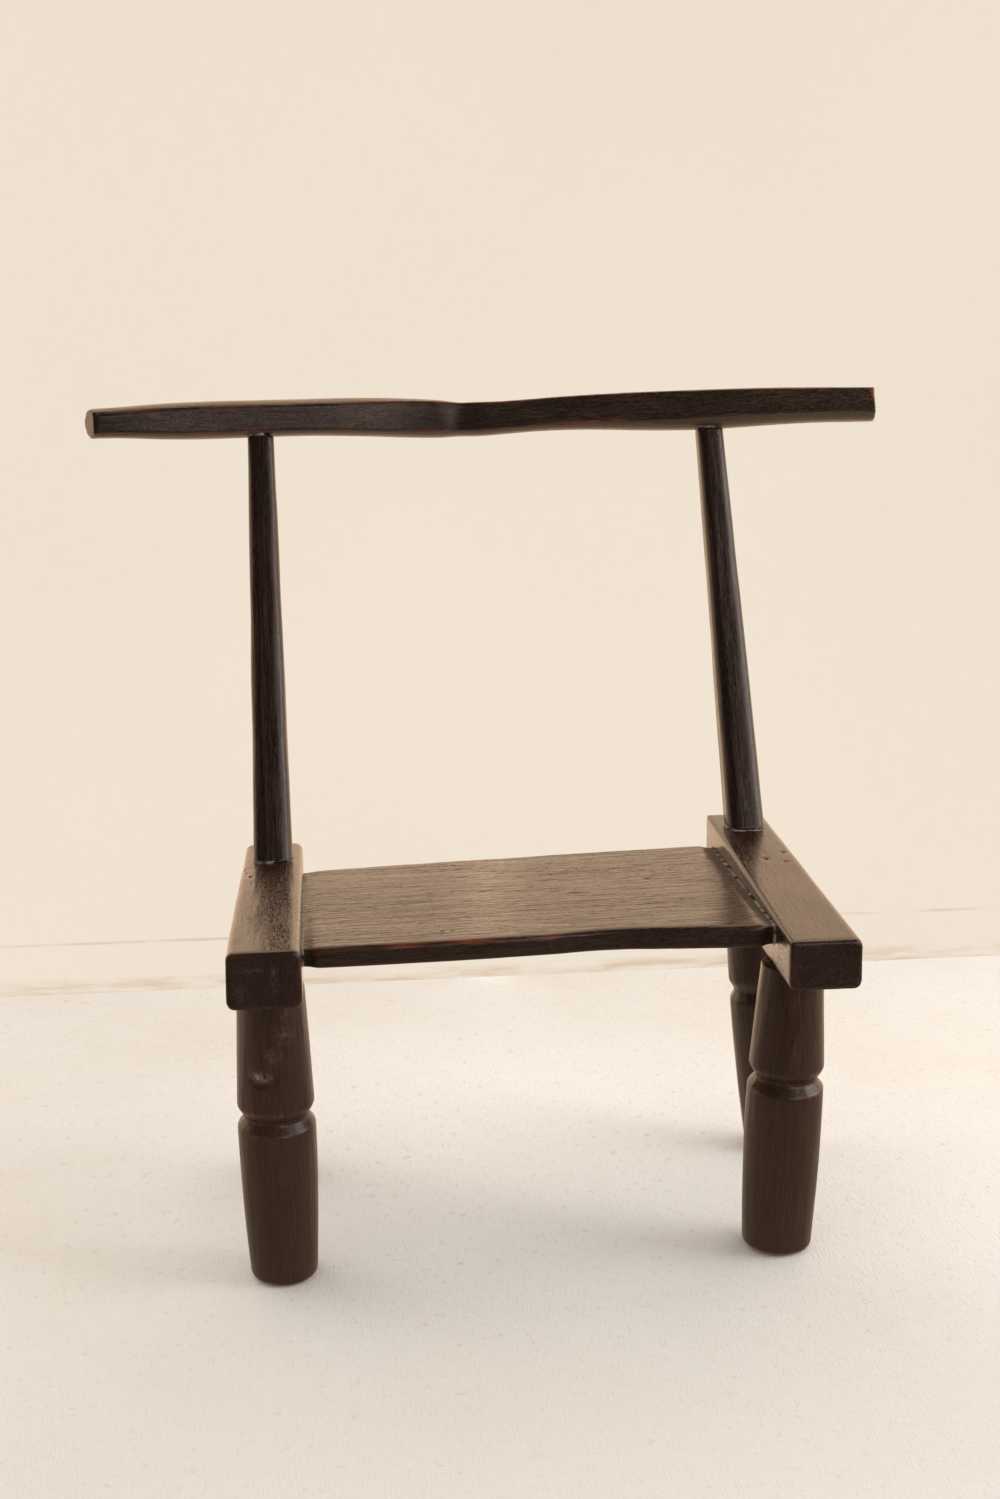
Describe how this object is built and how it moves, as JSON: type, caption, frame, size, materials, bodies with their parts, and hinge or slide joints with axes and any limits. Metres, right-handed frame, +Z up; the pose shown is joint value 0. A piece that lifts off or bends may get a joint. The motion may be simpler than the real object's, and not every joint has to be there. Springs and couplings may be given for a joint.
{
  "type": "low carved chair",
  "caption": "Low hand-carved wooden chair: heavy side rails on grooved legs, a plank seat between them and raked posts carrying a bowed crest rail.",
  "frame": {"origin": "on the floor, at the middle of the bottom of the chair's bounding box", "axes": "+X to the right seen from the front, along the crest rail; +Y from the front edge of the seat to the back; +Z up"},
  "size_m": [0.6848, 0.4494, 0.6408],
  "materials": {
    "dark_wood_rails": "waxed satin, worn at the edges",
    "dark_wood_seat": "waxed satin with fine grain along the plank",
    "dark_wood_legs": "waxed satin",
    "dark_wood_posts": "waxed satin",
    "dark_wood_crest": "waxed satin, worn at the edges"
  },
  "bodies": {
    "root": {"side_rail_left": "dark_wood_rails", "side_rail_right": "dark_wood_rails", "seat_plank": "dark_wood_seat", "front_leg_left": "dark_wood_legs", "front_leg_right": "dark_wood_legs", "rear_leg_left": "dark_wood_legs", "rear_leg_right": "dark_wood_legs", "back_post_left": "dark_wood_posts", "back_post_right": "dark_wood_posts", "crest_rail": "dark_wood_crest"}
  },
  "joints": []
}
